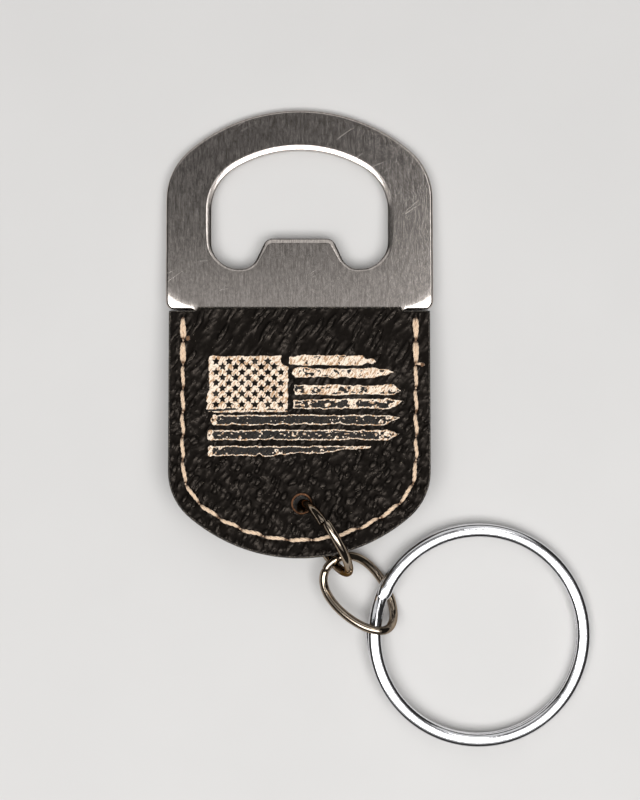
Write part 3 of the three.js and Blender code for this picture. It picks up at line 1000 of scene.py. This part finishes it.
def waxed_thread():
    m = Nodes("waxed_thread", Roughness=0.62, Sheen_Weight=0.25, Sheen_Roughness=0.5)
    fibres = m.noise((0.11, 0.11, 0.11), 3)
    tone = m.blend(m.ramp(fibres, 0.3, 0.7), (0.66, 0.45, 0.29), (0.88, 0.7, 0.52))
    tone = m.blend(m.ramp(m.noise((1.1, 1.1, 1.1), 3), 0.6, 0.75, 0.0, 0.4), tone, (0.4, 0.24, 0.14))
    # painted shade: dark brown where the value is low, where the thread dips into the needle holes; the
    # singed lumps take the same brown for real
    m.put("Base Color", m.blend(m.ramp(m.relief(), 0.0, 1.0, 1.0, 0.0), tone, (0.16, 0.075, 0.03)))
    m.put("Normal", m.bump(fibres, 0.05))
    return m.material


def engraving(name, ground, veins, speck, amount):
    """Leather burnt by the engraver: granular and matt, with veins along the grain and specks."""
    m = Nodes(name, Roughness=0.75)
    fine = m.noise((0.13, 0.13, 0.13), 2)
    lines = m.ramp(m.noise((0.8, 0.25, 0.5), 3, -GRAIN_TURN), 0.46, 0.6)
    tone = m.blend(lines, ground, veins)
    m.put("Base Color", m.blend(m.ramp(fine, amount, amount + 0.08), tone, speck))
    m.put("Normal", m.bump(fine, 0.06))
    return m.material


def wire_metal(name, tone, worn, smooth, rough, grazing):
    """Plated wire: two tones in patches, dark specks, and a tint of its own where it is seen edge-on."""
    m = Nodes(name, Metallic=1.0, Specular_Tint=grazing)
    patches = m.noise((2.5, 2.5, 2.5), 4)
    specks = m.ramp(m.noise((0.2, 0.2, 0.2), 2), 0.66, 0.74, 0.0, 0.6)
    dark = [0.5 * c for c in tone]
    m.put("Base Color", m.blend(specks, m.blend(m.ramp(patches, 0.4, 0.65), tone, worn), dark))
    m.put("Roughness", m.ramp(m.noise((0.7, 0.7, 0.7), 4), 0.35, 0.7, smooth, rough))
    m.put("Normal", m.bump(m.noise((0.9, 0.9, 0.9), 3), 0.012))
    return m.material


def pale_floor():
    m = Nodes("pale_floor", Roughness=0.7)
    m.put("Base Color", m.blend(m.noise((30, 30, 30), 3), (0.59, 0.58, 0.57), (0.63, 0.62, 0.61)))
    return m.material


# ---- floor, light and camera ----
def floor(size=3.0):
    mesh = bpy.data.meshes.new("floor")
    h = size / 2
    mesh.from_pydata([(-h, -h, 0), (h, -h, 0), (h, h, 0), (-h, h, 0)], [], [(0, 1, 2, 3)])
    mesh.materials.append(pale_floor())
    obj = bpy.data.objects.new("floor", mesh)
    bpy.context.scene.collection.objects.link(obj)


def soft_box(name, brightness, centre, size, aim):
    """A rectangular light whose face has the given radiance."""
    light = bpy.data.lights.new(name, "AREA")
    light.shape = "RECTANGLE"
    light.size, light.size_y = size
    light.energy = brightness * math.pi * size[0] * size[1]
    obj = bpy.data.objects.new(name, light)
    obj.location = centre
    obj.rotation_euler = (Vector(aim) - Vector(centre)).to_track_quat("-Z", "Y").to_euler()
    bpy.context.scene.collection.objects.link(obj)


def studio():
    """A bright box over the key ring's side, a wide dim one round it, a weak fill from the other side, and a
    small bright box that glints on the sloping parts of the wires."""
    world = bpy.data.worlds.new("studio")
    world.use_nodes = True
    world.node_tree.nodes["Background"].inputs["Color"].default_value = (1.0, 0.98, 0.95, 1)
    world.node_tree.nodes["Background"].inputs["Strength"].default_value = 0.03
    bpy.context.scene.world = world
    bpy.context.scene.view_settings.view_transform = "Standard"
    soft_box("key_box", 6.0, (0, -0.21, 0.8), (0.9, 0.44), (0, -0.21, 0))
    soft_box("halo_box", 0.53, (0, -0.32, 0.82), (1.5, 1.06), (0, -0.32, 0))
    soft_box("fill_box", 0.7, (0, 0.67, 0.71), (1.2, 0.62), (0, 0, 0))
    soft_box("glint_box", 3.0, (0.2, 0.27, 0.8), (0.14, 0.2), (0, 0, 0))


def camera():
    """Straight down on the whole opener and its rings, with a margin."""
    height = 0.38
    tall = 0.1342  # how much of the table the picture shows from top to bottom
    over = (-0.00976, 0.00469)
    data = bpy.data.cameras.new("camera")
    data.sensor_width = 36
    data.lens = data.sensor_width * height / tall
    obj = bpy.data.objects.new("camera", data)
    obj.location = (*over, height)
    bpy.context.scene.collection.objects.link(obj)
    bpy.context.scene.camera = obj


# ---- the opener ----
camera()
studio()
floor()
steel = brushed_steel()
leather = [black_leather(), cut_leather(), cut_leather("eye_rim", (0.2, 0.08, 0.03), (0.5, 0.25, 0.12))]
thread = waxed_thread()
nickel = wire_metal("dark_nickel", (0.31, 0.255, 0.2), (0.42, 0.35, 0.27), 0.04, 0.1, (0.3, 0.22, 0.16))
chrome = wire_metal("chrome", (0.8, 0.8, 0.82), (0.74, 0.74, 0.76), 0.06, 0.16, (1.0, 1.0, 1.0))

steel_plate(steel)
leather_panel("front_grip_leather", "front_leather_panel", 1, leather, 0.2, 11)
leather_panel("back_grip_leather", "back_leather_panel", -1, leather, 0.3, 211)
filler_core(cut_leather("filler_board", (0.02, 0.016, 0.013), (0.3, 0.24, 0.18)))
stitching("front_thread", "front_stitching", 1, thread)
stitching("back_thread", "back_stitching", -1, thread)
pale = engraving("engraved_pale", (0.95, 0.8, 0.65), (0.5, 0.3, 0.16), (0.1, 0.05, 0.025), 0.6)
dull = engraving("engraved_dull", (0.008, 0.0055, 0.004), (0.004, 0.003, 0.0022), (0.35, 0.24, 0.15), 0.65)
flag_mesh("flag_pale", 0, pale, 0.03, 11)
flag_mesh("flag_dull", 1, dull, 0.01, 11)
jump_ring(nickel)
chain_link(nickel)
key_ring(chrome)
